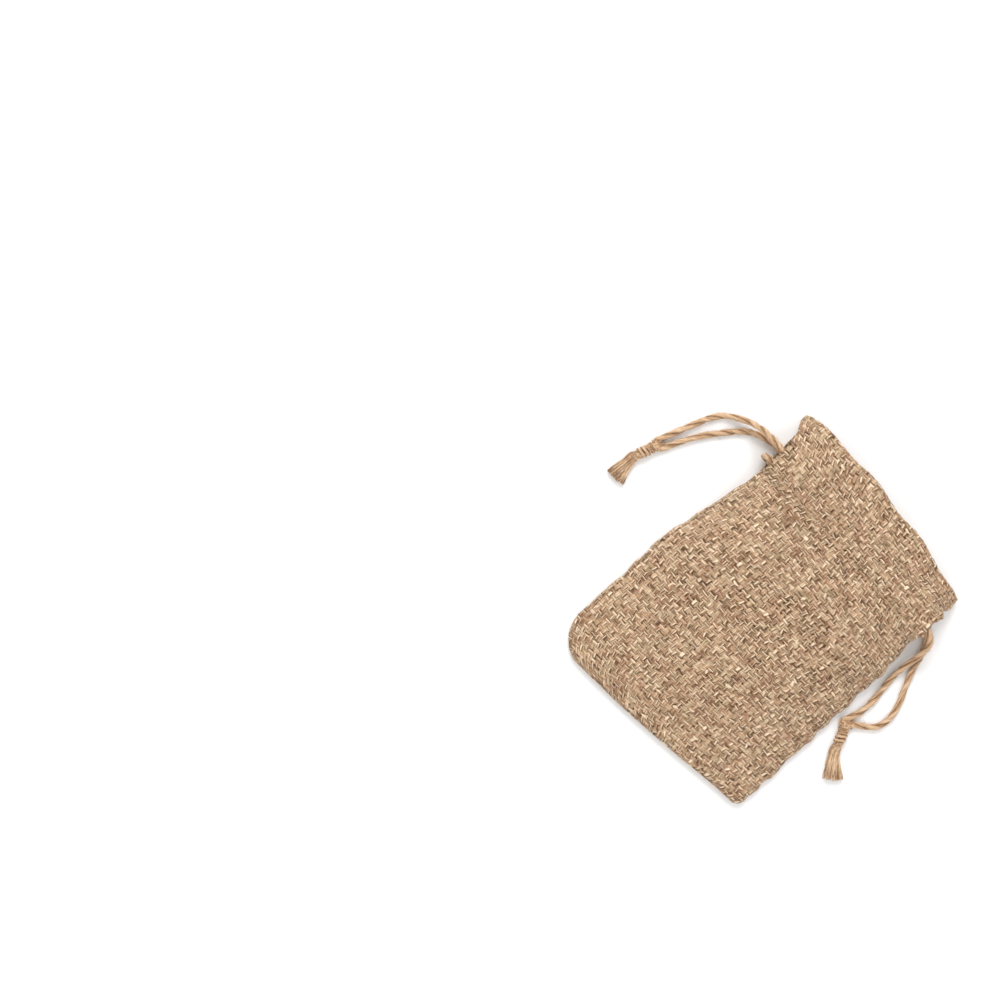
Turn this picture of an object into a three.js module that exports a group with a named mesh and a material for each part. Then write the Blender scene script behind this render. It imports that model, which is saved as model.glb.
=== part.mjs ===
// Drawstring gift pouch, lying on its back with its mouth towards +Y.
// Units are millimetres, +Z is up, and z = 0 is the surface that the pouch lies on.
// Two cloth panels are sewn along the bottom and the sides. Their top bands are turned in to make
// a casing with an open end at each side. Two cords run right round the casing: the left cord
// leaves and ends at the left, the right cord at the right, so pulling both draws the neck in.

import * as THREE from 'three';

// Driving dimensions
const POUCH_WIDTH = 70;
const POUCH_LENGTH = 92;
const CLOTH = 0.6;
const SEAM_ALLOWANCE = 5;
const CORNER_RADIUS = 3;
const RUFFLE_HEIGHT = 9.3;
const CASING_HEIGHT = 10.4;
const STITCH_LEDGE = 0.8;
const CASING_RAMP = 0.8;
const NECK_PINCH = 3.5;
const NECK_TAPER_LENGTH = 16;
const MOUTH_GAP = 4.8;
const MOUTH_BOW = 2.2;
const CORD_DIAMETER = 2.2;
const CORD_SPACING = 4.4;
const CORD_CLEARANCE = 0.2;
const KNOT_LENGTH = 6.8;
const KNOT_WIDTH = 4.6;
const TAIL_DIAMETER = 2.4;
const THREAD_DIAMETER = 0.4;
const SEAM_WEB = 1.2;
const GAP = 0.3;

// Shape of the front panel's crown: how early it rises from the bottom seam, and how square its
// section is at the bottom and by how much more at the top
const CROWN_RISE = 0.8;
const BOTTOM_SQUARENESS = 2.4;
const TOP_SQUARENESS = 5;

// Levels and lines that follow from them
const cordRadius = CORD_DIAMETER / 2;
const threadRadius = THREAD_DIAMETER / 2;
const halfWidth = POUCH_WIDTH / 2;
const neckHalf = halfWidth - NECK_PINCH;
const bottomY = -POUCH_LENGTH / 2;
const mouthY = POUCH_LENGTH / 2;
const upperRowY = mouthY - RUFFLE_HEIGHT;
const lowerRowY = upperRowY - CASING_HEIGHT;
const channelY = (upperRowY + lowerRowY) / 2;
const bodyTopY = lowerRowY - GAP;
const channelHeight = CORD_DIAMETER + 2 * CORD_CLEARANCE;
const bandThickness = 2 * CLOTH + channelHeight;
const frontBaseZ = bandThickness + MOUTH_GAP;
const ledgeTopZ = 2 * CLOTH + GAP;
const seamBottomZ = CLOTH + GAP;
const seamTopZ = seamBottomZ + 2 * CLOTH;
const edgeTopZ = seamTopZ + GAP + CLOTH;
const crownTopZ = frontBaseZ + ledgeTopZ;

const CLOTH_COLOR = 0xb89b7d;
const CORD_COLOR = 0xcfa878;
const THREAD_COLOR = 0xc7a982;

const pouch = new THREE.Group();

function addMesh(name, geometry, color) {
  const material = new THREE.MeshStandardMaterial({ color, roughness: 0.95, metalness: 0 });
  const mesh = new THREE.Mesh(geometry, material);
  mesh.name = name;
  pouch.add(mesh);
  return mesh;
}

function ease(t) {
  const c = Math.min(1, Math.max(0, t));
  return c * c * (3 - 2 * c);
}

// Half of the pouch's width at y: full on the body, drawn in at the casing, flared at the mouth.
function halfWidthAt(y) {
  const drawnInBelow = ease((y - (lowerRowY - NECK_TAPER_LENGTH)) / NECK_TAPER_LENGTH);
  const flaredAbove = ease((y - upperRowY) / (RUFFLE_HEIGHT - MOUTH_BOW));
  return halfWidth - NECK_PINCH * (drawnInBelow - flaredAbove);
}

// Half width with the rounded bottom corners taken off.
function outlineAt(y) {
  const up = Math.max(0, CORNER_RADIUS - (y - bottomY));
  const cut = CORNER_RADIUS - Math.sqrt(CORNER_RADIUS ** 2 - up ** 2);
  return halfWidthAt(y) - cut;
}

// A closed body from two facing grids of points, [row][column], with walls round their edges.
// Seen from the near side, rows and then columns turn anticlockwise.
function slab(near, far) {
  const rows = near.length;
  const columns = near[0].length;
  const positions = [...near.flat(), ...far.flat()].flatMap((p) => p.toArray());
  const n = (i, j) => i * columns + j;
  const f = (i, j) => rows * columns + i * columns + j;
  const faces = [];
  const quad = (a, b, c, d) => faces.push(a, b, c, a, c, d);
  for (let i = 0; i < rows - 1; i++) {
    for (let j = 0; j < columns - 1; j++) {
      quad(n(i, j), n(i + 1, j), n(i + 1, j + 1), n(i, j + 1));
      quad(f(i, j), f(i, j + 1), f(i + 1, j + 1), f(i + 1, j));
    }
    quad(n(i, 0), f(i, 0), f(i + 1, 0), n(i + 1, 0));
    quad(n(i, columns - 1), n(i + 1, columns - 1), f(i + 1, columns - 1), f(i, columns - 1));
  }
  for (let j = 0; j < columns - 1; j++) {
    quad(n(0, j), n(0, j + 1), f(0, j + 1), f(0, j));
    quad(n(rows - 1, j), f(rows - 1, j), f(rows - 1, j + 1), n(rows - 1, j + 1));
  }
  return indexed(positions, faces);
}

function indexed(positions, faces) {
  const geometry = new THREE.BufferGeometry();
  geometry.setAttribute('position', new THREE.Float32BufferAttribute(positions, 3));
  geometry.setIndex(faces);
  geometry.computeVertexNormals();
  return geometry;
}

function plate(outline, bottomZ, thickness) {
  const geometry = new THREE.ExtrudeGeometry(new THREE.Shape(outline), {
    depth: thickness,
    bevelEnabled: false,
  });
  geometry.translate(0, 0, bottomZ);
  return geometry;
}

function range(count, from, to) {
  return Array.from({ length: count + 1 }, (_, i) => from + ((to - from) * i) / count);
}

// The rows where the panels are cut: close together round the bottom corners, then even.
function panelRows() {
  const corner = range(4, 0, Math.PI / 2).map((a) => bottomY + CORNER_RADIUS * (1 - Math.cos(a)));
  const rest = range(14, bottomY + CORNER_RADIUS, bodyTopY).slice(1);
  return [...corner, ...rest];
}

function backPanel() {
  const rows = panelRows();
  const right = rows.map((y) => new THREE.Vector2(outlineAt(y), y));
  const left = rows.map((y) => new THREE.Vector2(-outlineAt(y), y)).reverse();
  addMesh('back_panel', plate([...right, ...left], 0, CLOTH), CLOTH_COLOR);
}

// Height of the front panel's outer face: level with the seam at its edges, crowned between them,
// and fuller towards the mouth, where the casing holds it up.
function frontTopAt(x, y) {
  const along = (y - bottomY) / (bodyTopY - bottomY);
  const crown = Math.sin((Math.PI / 2) * along ** CROWN_RISE);
  const across = Math.min(1, Math.abs(x) / outlineAt(y));
  const fullness = BOTTOM_SQUARENESS + TOP_SQUARENESS * along ** 3;
  return edgeTopZ + (crownTopZ - edgeTopZ) * crown * (1 - across ** fullness);
}

function frontPanel() {
  const columns = range(14, -1, 1).map((u) => Math.sin((u * Math.PI) / 2) * 0.5 + u * 0.5);
  const point = (y, u, drop) => {
    const x = u * outlineAt(y);
    return new THREE.Vector3(x, y, frontTopAt(x, y) - drop);
  };
  const face = (drop) => columns.map((u) => panelRows().map((y) => point(y, u, drop)));
  addMesh('front_panel', slab(face(0), face(CLOTH)), CLOTH_COLOR);
}

// Seam allowances: two layers of cloth turned in between the panels, with their edge overlocked.
function bottomSeam() {
  const reach = halfWidth - CORNER_RADIUS - GAP;
  const low = bottomY + CLOTH;
  const high = bottomY + SEAM_ALLOWANCE;
  const outline = [[-reach, low], [reach, low], [reach, high], [-reach, high]];
  const corners = outline.map(([x, y]) => new THREE.Vector2(x, y));
  addMesh('bottom_seam_allowance', plate(corners, seamBottomZ, seamTopZ - seamBottomZ), CLOTH_COLOR);
  const inner = halfWidth - SEAM_ALLOWANCE - 3 * GAP - THREAD_DIAMETER;
  const z = (seamBottomZ + seamTopZ) / 2;
  const y = high + GAP + threadRadius;
  thread('bottom_overlock_thread', [[-inner, y, z], [inner, y, z]]);
}

function sideSeam(name, side) {
  const rows = range(14, bottomY + SEAM_ALLOWANCE + GAP, bodyTopY);
  const edge = (inset) => rows.map((y) => new THREE.Vector2(side * (halfWidthAt(y) - inset), y));
  const outer = edge(CLOTH);
  const inner = edge(SEAM_ALLOWANCE).reverse();
  addMesh(
    `${name}_side_seam_allowance`,
    plate([...outer, ...inner], seamBottomZ, seamTopZ - seamBottomZ),
    CLOTH_COLOR
  );
  const inset = SEAM_ALLOWANCE + GAP + threadRadius;
  const z = (seamBottomZ + seamTopZ) / 2;
  const overlock = rows.slice(1).map((y) => [side * (halfWidthAt(y) - inset), y, z]);
  thread(`${name}_overlock_thread`, overlock);
}

// Middle line of a top band in the YZ plane: up along the flat layer, round the fold at the
// mouth's edge, and back along the other layer, which humps over the cords' channel.
function bandLine() {
  const flatZ = CLOTH / 2;
  const ledgeZ = ledgeTopZ - CLOTH / 2;
  const humpZ = bandThickness - CLOTH / 2;
  const foldRadius = (ledgeZ - flatZ) / 2;
  const foldY = mouthY - CLOTH / 2 - foldRadius;
  const ruffle = range(5, upperRowY, foldY);
  const flat = [lowerRowY, channelY, ...ruffle].map((y) => [y, flatZ]);
  const fold = range(4, -Math.PI / 2, Math.PI / 2)
    .slice(1)
    .map((a) => [foldY + foldRadius * Math.cos(a), (flatZ + ledgeZ) / 2 + foldRadius * Math.sin(a)]);
  const back = ruffle.slice(0, -1).reverse().map((y) => [y, ledgeZ]);
  const ramp = range(3, 0, 1);
  const rampY = (t) => STITCH_LEDGE + CASING_RAMP * t;
  const rampZ = (t) => ledgeZ + (humpZ - ledgeZ) * ease(t);
  const down = ramp.map((t) => [upperRowY - rampY(t), rampZ(t)]);
  const up = ramp.map((t) => [lowerRowY + rampY(t), rampZ(t)]).reverse();
  return [...flat, ...fold, ...back, ...down, [channelY, humpZ], ...up, [lowerRowY, ledgeZ]];
}

function heading(from, to) {
  return to.clone().sub(from).normalize();
}

// The band's cut outline: its middle line set off by half the cloth on both sides.
function bandSection() {
  const line = bandLine().map(([y, z]) => new THREE.Vector2(y, z));
  const offset = (side) =>
    line.map((p, i) => {
      const before = line[Math.max(0, i - 1)];
      const after = line[Math.min(line.length - 1, i + 1)];
      const into = i > 0 ? heading(before, p) : heading(p, after);
      const out = i < line.length - 1 ? heading(p, after) : heading(before, p);
      const normal = new THREE.Vector2(-into.y - out.y, into.x + out.x).normalize();
      const straight = new THREE.Vector2(-out.y, out.x);
      const reach = (side * CLOTH) / 2 / Math.max(0.5, normal.dot(straight));
      return p.clone().addScaledVector(normal, reach);
    });
  return [...offset(-1), ...offset(1).reverse()];
}

// How far the front band comes down at its corners, onto the seam that joins it to the back one.
function cornerDrop(u, y) {
  const fall = frontBaseZ - ledgeTopZ - SEAM_WEB - 2 * GAP;
  const rise = ease((y - upperRowY) / RUFFLE_HEIGHT);
  const side = ease((Math.abs(u) - 0.5) / 0.5);
  return fall * rise * side;
}

// The mouth's edge bows out between its corners.
function bowedY(u, y) {
  if (y <= upperRowY) return y;
  const bow = MOUTH_BOW * Math.abs(u) ** 2.5;
  return y - (bow * (y - upperRowY)) / RUFFLE_HEIGHT;
}

function topBand(name, baseZ, drops) {
  const section = bandSection();
  const stations = range(12, -1, 1);
  const ring = (u) =>
    section.map((p) => {
      const drop = drops ? cornerDrop(u, p.x) : 0;
      return new THREE.Vector3(u * halfWidthAt(p.x), bowedY(u, p.x), baseZ + p.y - drop);
    });
  const positions = stations.flatMap((u) => ring(u)).flatMap((p) => p.toArray());
  const count = section.length;
  const faces = [];
  for (let i = 0; i < stations.length - 1; i++) {
    for (let k = 0; k < count; k++) {
      const a = i * count + k;
      const b = i * count + ((k + 1) % count);
      faces.push(a, b, b + count, a, b + count, a + count);
    }
  }
  const last = (stations.length - 1) * count;
  for (let k = 0; k < count / 2 - 1; k++) {
    const [a, b, c, d] = [k, k + 1, count - 2 - k, count - 1 - k];
    faces.push(a, c, b, a, d, c);
    faces.push(last + a, last + b, last + c, last + a, last + c, last + d);
  }
  addMesh(name, indexed(positions, faces), CLOTH_COLOR);
}

function polygonSection(radius, sides) {
  const corner = (k) => {
    const a = (2 * Math.PI * (k + 0.5)) / sides;
    return new THREE.Vector2(radius * Math.cos(a), radius * Math.sin(a));
  };
  return new THREE.Shape(Array.from({ length: sides }, (_, k) => corner(k)));
}

function tube(points, radius, sides, step) {
  const curve = new THREE.CatmullRomCurve3(points.map((p) => new THREE.Vector3(...p)));
  const steps = Math.max(1, Math.round(curve.getLength() / step));
  return new THREE.ExtrudeGeometry(polygonSection(radius, sides), {
    steps,
    extrudePath: curve,
    bevelEnabled: false,
  });
}

function thread(name, points) {
  const length = new THREE.CatmullRomCurve3(points.map((p) => new THREE.Vector3(...p))).getLength();
  const step = points.length > 2 ? length / (points.length - 1) : length;
  addMesh(name, tube(points, threadRadius, 6, step), THREAD_COLOR);
}

// Two rows of stitches hold each band's turned-in layer, below and above the cords.
function bandStitches(name, baseZ) {
  const z = baseZ + ledgeTopZ + GAP + threadRadius;
  const reach = neckHalf - GAP;
  const rows = { lower: lowerRowY + STITCH_LEDGE / 2, upper: upperRowY - STITCH_LEDGE / 2 };
  for (const [row, y] of Object.entries(rows)) {
    thread(`${name}_casing_${row}_stitches`, [[-reach, y, z], [reach, y, z]]);
  }
}

// Side seam of the ruffle: a web of cloth that joins the two bands above the casing's open end,
// and the bar of thread that locks it there.
function neckSeam(name, side) {
  const rows = range(5, upperRowY + GAP, mouthY - 2 * CLOTH);
  const face = (inset) =>
    rows.map((y) => {
      const x = side * (halfWidthAt(y) - inset);
      const levels = [ledgeTopZ + GAP, frontBaseZ - cornerDrop(1, y) - GAP];
      return levels.map((z) => new THREE.Vector3(x, bowedY(1, y), z));
    });
  const outer = face(GAP);
  const inner = face(GAP + SEAM_WEB);
  addMesh(`${name}_neck_seam`, side > 0 ? slab(outer, inner) : slab(inner, outer), CLOTH_COLOR);
  const x = side * (neckHalf - GAP - SEAM_WEB / 2);
  const y = upperRowY - threadRadius;
  thread(`${name}_neck_bartack`, [[x, y, bandThickness + GAP], [x, y, frontBaseZ - GAP]]);
}

// Levels of the cords inside the two channels
const backCordZ = CLOTH + CORD_CLEARANCE + cordRadius;
const frontCordZ = frontBaseZ + backCordZ;
const turnRadius = NECK_PINCH - cordRadius;

// Points of each free strand as [x, y, lift], from the casing's open end to the knot, at the
// neck's rest width. Lift is 1 at the cord's own level in its channel and 0 lying on the surface.
const EXIT = { x: 31.5, leftY: 33.7, rightY: 29.3 };
const LEFT_FRONT_STRAND = [
  [-31.8, 33.7, 1], [-34.0, 33.8, 0.97], [-36.2, 33.8, 0.86], [-38.4, 33.7, 0.67],
  [-40.6, 33.3, 0.45], [-42.8, 32.6, 0.25], [-45.0, 31.5, 0.1], [-47.2, 30.0, 0.02],
  [-49.2, 28.0, 0], [-50.8, 25.3, 0], [-52.0, 22.1, 0], [-53.1, 18.9, 0],
  [-54.2, 15.9, 0], [-55.3, 13.0, 0], [-56.3, 10.3, 0],
];
const LEFT_BACK_STRAND = [
  [-31.8, 33.7, 1], [-34.0, 33.5, 0.9], [-36.3, 33.0, 0.6], [-38.6, 32.1, 0.25],
  [-40.8, 30.6, 0.05], [-42.8, 28.5, 0], [-44.6, 26.1, 0], [-46.4, 23.6, 0],
  [-48.2, 21.0, 0], [-49.8, 18.2, 0], [-51.2, 15.3, 0], [-52.5, 12.4, 0],
  [-53.7, 9.5, 0],
];
const LEFT_TAILS = [
  [[-58.8, 2.6, 0], [-58.8, 0.0, 0], [-58.6, -2.8, 0], [-58.2, -5.6, 0]],
  [[-55.9, 1.9, 0], [-55.5, -0.5, 0], [-55.2, -2.9, 0], [-54.8, -5.4, 0]],
];
const RIGHT_FRONT_STRAND = [
  [31.8, 29.3, 1], [33.8, 29.2, 0.98], [35.8, 28.4, 0.9], [37.3, 26.8, 0.77],
  [38.0, 24.6, 0.59], [38.2, 22.0, 0.38], [38.1, 19.2, 0.18], [38.0, 16.3, 0.05],
  [38.1, 13.3, 0], [38.5, 10.1, 0], [39.0, 6.9, 0], [39.3, 3.7, 0],
  [39.2, 0.7, 0], [38.4, -2.3, 0], [37.3, -5.2, 0],
];
const RIGHT_BACK_STRAND = [
  [31.8, 29.3, 1], [34.2, 29.0, 0.85], [36.4, 28.0, 0.55], [38.0, 26.1, 0.25],
  [39.1, 23.5, 0.05], [40.0, 20.6, 0], [41.1, 17.6, 0], [42.5, 14.6, 0],
  [44.0, 11.6, 0], [45.3, 8.6, 0], [46.0, 5.5, 0], [45.9, 2.5, 0],
  [44.6, -0.2, 0], [42.3, -2.1, 0], [39.9, -4.0, 0],
];
const RIGHT_TAILS = [
  [[40.6, -12.7, 0], [41.9, -14.8, 0], [43.9, -16.9, 0], [46.6, -19.3, 0]],
  [[43.2, -11.5, 0], [44.4, -13.2, 0], [46.3, -15.0, 0], [48.9, -17.3, 0]],
];

// Moves a chosen point with the casing's open end, and turns its lift into a height.
function placed([x, y, lift], side, exitY, exitZ) {
  const chosenY = side < 0 ? EXIT.leftY : EXIT.rightY;
  const z = cordRadius + lift * (exitZ - cordRadius);
  return [x + side * (neckHalf - EXIT.x), y + exitY - chosenY, z];
}

// One drawcord that leaves at side -1 or 1: a run through each channel, the turn round the far
// end of the neck, two free strands, the overhand knot that joins them, and its two tails.
function drawcord(name, side, y, frontStrand, backStrand, tails) {
  const add = (part, points, radius, step) =>
    addMesh(`${name}_${part}`, tube(points, radius, 8, step), CORD_COLOR);
  const reach = neckHalf - GAP;
  const levels = { front: frontCordZ, back: backCordZ };
  for (const [band, z] of Object.entries(levels)) {
    add(`${band}_run`, [[-reach, y, z], [reach, y, z]], cordRadius, 2 * reach);
  }

  const arc = (from, to, z) =>
    range(4, from, to).map((a) => [
      -side * (neckHalf + turnRadius * Math.cos(a)),
      y,
      z + turnRadius * Math.sin(a),
    ]);
  const turn = [
    ...arc(Math.PI / 2, 0, frontCordZ - turnRadius),
    ...arc(0, -Math.PI / 2, backCordZ + turnRadius),
  ];
  add('turn', turn, cordRadius, turnRadius / 3);

  const strands = { front_strand: [frontStrand, frontCordZ], back_strand: [backStrand, backCordZ] };
  const ends = [];
  for (const [part, [points, exitZ]] of Object.entries(strands)) {
    const route = points.map((p) => placed(p, side, y, exitZ));
    add(part, route, cordRadius, CORD_DIAMETER);
    ends.push(route.at(-1));
  }

  const [a, b] = ends.map((p) => new THREE.Vector2(p[0], p[1]));
  const along = new THREE.Vector2(b.y - a.y, a.x - b.x).normalize();
  if (along.y > 0) along.negate();
  const middle = a.clone().add(b).multiplyScalar(0.5);
  const centre = middle.addScaledVector(along, KNOT_LENGTH / 2 + GAP);
  const knot = new THREE.SphereGeometry(1, 14, 10);
  knot.rotateX(Math.PI / 2);
  knot.scale(KNOT_LENGTH / 2, KNOT_WIDTH / 2, KNOT_WIDTH / 2);
  knot.rotateZ(Math.atan2(along.y, along.x));
  knot.translate(centre.x, centre.y, KNOT_WIDTH / 2);
  addMesh(`${name}_knot`, knot, CORD_COLOR);

  tails.forEach((points, i) => {
    const tailRadius = TAIL_DIAMETER / 2;
    const route = points.map((p) => placed(p, side, y, backCordZ));
    const lying = route.map(([px, py]) => [px, py, tailRadius]);
    add(`tail_${i + 1}`, lying, tailRadius, CORD_DIAMETER);
  });
}

backPanel();
frontPanel();
bottomSeam();
sideSeam('left', -1);
sideSeam('right', 1);
topBand('back_casing', 0, false);
topBand('front_casing', frontBaseZ, true);
bandStitches('back', 0);
bandStitches('front', frontBaseZ);
neckSeam('left', -1);
neckSeam('right', 1);
drawcord('left_cord', -1, channelY + CORD_SPACING / 2, LEFT_FRONT_STRAND, LEFT_BACK_STRAND, LEFT_TAILS);
drawcord('right_cord', 1, channelY - CORD_SPACING / 2, RIGHT_FRONT_STRAND, RIGHT_BACK_STRAND, RIGHT_TAILS);

export default pouch;
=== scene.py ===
"""Drawstring gift pouch of plain-woven burlap with two jute drawcords.

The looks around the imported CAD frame: woven cloth with every yarn as a ridge, two-ply cords with
knots and frayed tails, and the threads of the seams. Everything is in metres, in the part's frame.
"""

import math

import bpy
import numpy as np
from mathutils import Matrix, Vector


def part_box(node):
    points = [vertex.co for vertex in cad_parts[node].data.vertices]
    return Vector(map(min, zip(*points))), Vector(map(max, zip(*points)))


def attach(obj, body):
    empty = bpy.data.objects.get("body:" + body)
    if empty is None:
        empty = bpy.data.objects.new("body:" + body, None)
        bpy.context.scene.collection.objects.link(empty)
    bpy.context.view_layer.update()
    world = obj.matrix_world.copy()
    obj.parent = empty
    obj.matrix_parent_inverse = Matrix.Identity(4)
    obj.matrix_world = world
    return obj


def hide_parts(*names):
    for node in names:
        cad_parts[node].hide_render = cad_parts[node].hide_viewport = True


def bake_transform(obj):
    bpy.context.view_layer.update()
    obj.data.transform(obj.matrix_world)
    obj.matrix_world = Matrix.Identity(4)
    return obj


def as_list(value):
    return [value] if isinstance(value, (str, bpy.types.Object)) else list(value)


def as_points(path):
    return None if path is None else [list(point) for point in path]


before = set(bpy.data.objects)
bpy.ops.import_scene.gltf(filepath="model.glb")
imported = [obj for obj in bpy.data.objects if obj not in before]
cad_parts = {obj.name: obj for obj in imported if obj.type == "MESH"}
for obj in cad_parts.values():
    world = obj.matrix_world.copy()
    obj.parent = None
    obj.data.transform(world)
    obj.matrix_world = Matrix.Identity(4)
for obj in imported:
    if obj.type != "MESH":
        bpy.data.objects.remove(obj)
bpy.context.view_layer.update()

MM = 0.001


def middle(node):
    """Centre of a CAD node's box."""
    low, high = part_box(node)
    return (low + high) / 2


# -------- places that the frame gives

HALF_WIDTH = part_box("back_panel")[1].x
BOTTOM_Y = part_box("back_panel")[0].y
BODY_TOP_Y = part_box("back_panel")[1].y
CASING_LOW, CASING_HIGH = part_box("front_casing")
SPLIT_Y = CASING_LOW.y
MOUTH_Y = CASING_HIGH.y
INNER_FRONT_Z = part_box("left_neck_bartack")[1].z + 0.3 * MM
LEDGE_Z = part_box("front_panel")[1].z
HUMP_Z = CASING_HIGH.z
BACK_HUMP_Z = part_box("back_casing")[1].z
LOWER_ROW_Y = middle("front_casing_lower_stitches").y
UPPER_ROW_Y = middle("front_casing_upper_stitches").y
SEAM_Z = middle("bottom_seam_allowance").z
NECK_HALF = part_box("left_cord_front_run")[1].x + 0.3 * MM
CORD_DIAMETER = 2.2 * MM
CORD_RADIUS = CORD_DIAMETER / 2

CHANNEL_Y = (LOWER_ROW_Y + UPPER_ROW_Y) / 2

# Yarns of the cloth
WARPS = 44
WARP_PITCH = 2 * HALF_WIDTH / WARPS
WEFT_PITCH = 1.315 * MM

# The cloth's own outline; where the two sides differ, -1 is the left one and 1 the right one.
NECK_PINCH = {-1: 4.8 * MM, 1: 1.6 * MM}
TAPER_FROM_Y = {-1: -8 * MM, 1: 12 * MM}
MOUTH_FLARE = {-1: 2.4 * MM, 1: 1.3 * MM}
CORNER_RADIUS = {-1: 10 * MM, 1: 3.2 * MM}
EDGE_TOP_Z = 3 * MM
CROWN_Z = HUMP_Z - 0.35 * MM
MOUTH_BOW = 2.2 * MM
SKEW = 1.7
BOTTOM_BOW = 1.2 * MM


def smooth(t):
    c = np.clip(t, 0.0, 1.0)
    return c * c * (3 - 2 * c)


# -------- meshes


def make_piece(name, points, faces, material, uv=None, attributes=None, normals=None):
    """A mesh object from arrays. uv and attributes have one value for each point."""
    mesh = bpy.data.meshes.new(name)
    mesh.from_pydata(points.tolist(), [], faces if isinstance(faces, list) else faces.tolist())
    loops = np.empty(len(mesh.loops), dtype=np.int32)
    mesh.loops.foreach_get("vertex_index", loops)
    if uv is not None:
        layer = mesh.uv_layers.new(name="weave")
        layer.data.foreach_set("uv", uv[loops].astype(np.float32).ravel())
    for key, values in (attributes or {}).items():
        attribute = mesh.attributes.new(key, "FLOAT", "POINT")
        attribute.data.foreach_set("value", np.asarray(values, dtype=np.float32).ravel())
    mesh.polygons.foreach_set("use_smooth", np.ones(len(mesh.polygons), dtype=bool))
    mesh.materials.append(material)
    if normals is not None:
        mesh.normals_split_custom_set_from_vertices(normals.tolist())
    mesh.update()
    piece = bpy.data.objects.new(name, mesh)
    bpy.context.scene.collection.objects.link(piece)
    return piece


def dress(piece, node):
    """Shows the piece in place of a CAD node."""
    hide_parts(node)
    return piece


def grid_faces(rows, columns):
    """Quads of a grid of points, facing the side from which rows go up and columns go right."""
    index = np.arange(rows * columns).reshape(rows, columns)
    corners = [index[:-1, :-1], index[:-1, 1:], index[1:, 1:], index[1:, :-1]]
    return np.stack(corners, axis=-1).reshape(-1, 4)


def unit(vectors):
    return vectors / np.maximum(np.linalg.norm(vectors, axis=-1, keepdims=True), 1e-12)


def grid_normals(points):
    return unit(np.cross(np.gradient(points, axis=1), np.gradient(points, axis=0)))


def lengths(points):
    """How far along a line each of its points is."""
    gaps = np.linalg.norm(np.diff(points, axis=0), axis=1)
    return np.concatenate([[0.0], np.cumsum(gaps)])


def read_line(places, along, points):
    """A line's points at other places along it."""
    return np.stack([np.interp(places, along, column) for column in points.T], axis=1)


def resample(points, step):
    """The same line with its points a step apart."""
    along = lengths(points)
    count = max(2, int(round(along[-1] / step)) + 1)
    return read_line(np.linspace(0.0, along[-1], count), along, points)


def between(first, second, start, end, t):
    return ((end - t) * first + (t - start) * second) / (end - start)


def curve_through(points, step):
    """A smooth line through the chosen points (centripetal Catmull-Rom)."""
    p = np.asarray(points, dtype=float)
    p = np.vstack([2 * p[0] - p[1], p, 2 * p[-1] - p[-2]])
    knots = np.concatenate([[0.0], np.cumsum(np.linalg.norm(np.diff(p, axis=0), axis=1) ** 0.5)])
    line = []
    for i in range(1, len(p) - 2):
        t = np.linspace(knots[i], knots[i + 1], 16, endpoint=False)[:, None]
        t0, t1, t2, t3 = knots[i - 1:i + 3]
        a1 = between(p[i - 1], p[i], t0, t1, t)
        a2 = between(p[i], p[i + 1], t1, t2, t)
        a3 = between(p[i + 1], p[i + 2], t2, t3, t)
        b1 = between(a1, a2, t0, t2, t)
        b2 = between(a2, a3, t1, t3, t)
        line.append(between(b1, b2, t1, t2, t))
    line.append(p[-2][None, :])
    return resample(np.vstack(line), step)


def side_frames(line):
    """Two directions across a line at each point, carried along it without twisting."""
    tangents = unit(np.gradient(line, axis=0))
    first = np.cross(tangents[0], [0.0, 0.0, 1.0])
    if np.linalg.norm(first) < 0.1:
        first = np.cross(tangents[0], [1.0, 0.0, 0.0])
    across = [unit(first)]
    for t in tangents[1:]:
        across.append(unit(across[-1] - t * np.dot(across[-1], t)))
    across = np.array(across)
    return tangents, across, np.cross(tangents, across)


def tube_arrays(line, radius, sides):
    """Points and faces of a closed round tube; radius is a number or one for each point."""
    _, across, upward = side_frames(line)
    angles = np.linspace(0.0, 2 * math.pi, sides, endpoint=False)
    radii = np.broadcast_to(radius, (len(line),))[:, None, None]
    ring = across[:, None] * np.cos(angles)[None, :, None] + upward[:, None] * np.sin(angles)[None, :, None]
    return (line[:, None] + ring * radii).reshape(-1, 3), tube_faces(len(line), sides)


def wall_faces(rings, sides):
    """Quads between rings of points that close on themselves."""
    index = np.arange(rings * sides).reshape(rings, sides)
    ahead = np.roll(index, -1, axis=1)
    return np.stack([index[:-1], ahead[:-1], ahead[1:], index[1:]], axis=-1).reshape(-1, 4).tolist()


def tube_faces(rings, sides):
    last = (rings - 1) * sides
    return wall_faces(rings, sides) + [list(range(sides))[::-1], list(range(last, last + sides))]


class Bundle:
    """Collects many small tubes into one piece."""

    def __init__(self):
        self.points = []
        self.faces = []
        self.uv = []
        self.shade = []
        self.count = 0

    def add(self, points, faces, uv, shade):
        self.points.append(points)
        self.faces.extend(tuple(v + self.count for v in face) for face in faces)
        self.uv.append(uv)
        self.shade.append(np.broadcast_to(shade, (len(points),)))
        self.count += len(points)

    def add_tube(self, line, radius, sides, shade):
        points, faces = tube_arrays(line, radius, sides)
        along = np.repeat(lengths(line), sides)
        around = np.tile(np.arange(sides) / sides * MM, len(line))
        self.add(points, faces, np.stack([along, around], axis=1), shade)

    def piece(self, name, material):
        points = np.vstack(self.points)
        points[:, 2] = np.maximum(points[:, 2], 0.01 * MM)
        shade = {"shade": np.concatenate(self.shade)}
        return make_piece(name, points, self.faces, material, np.vstack(self.uv), shade)


# -------- materials


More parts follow.
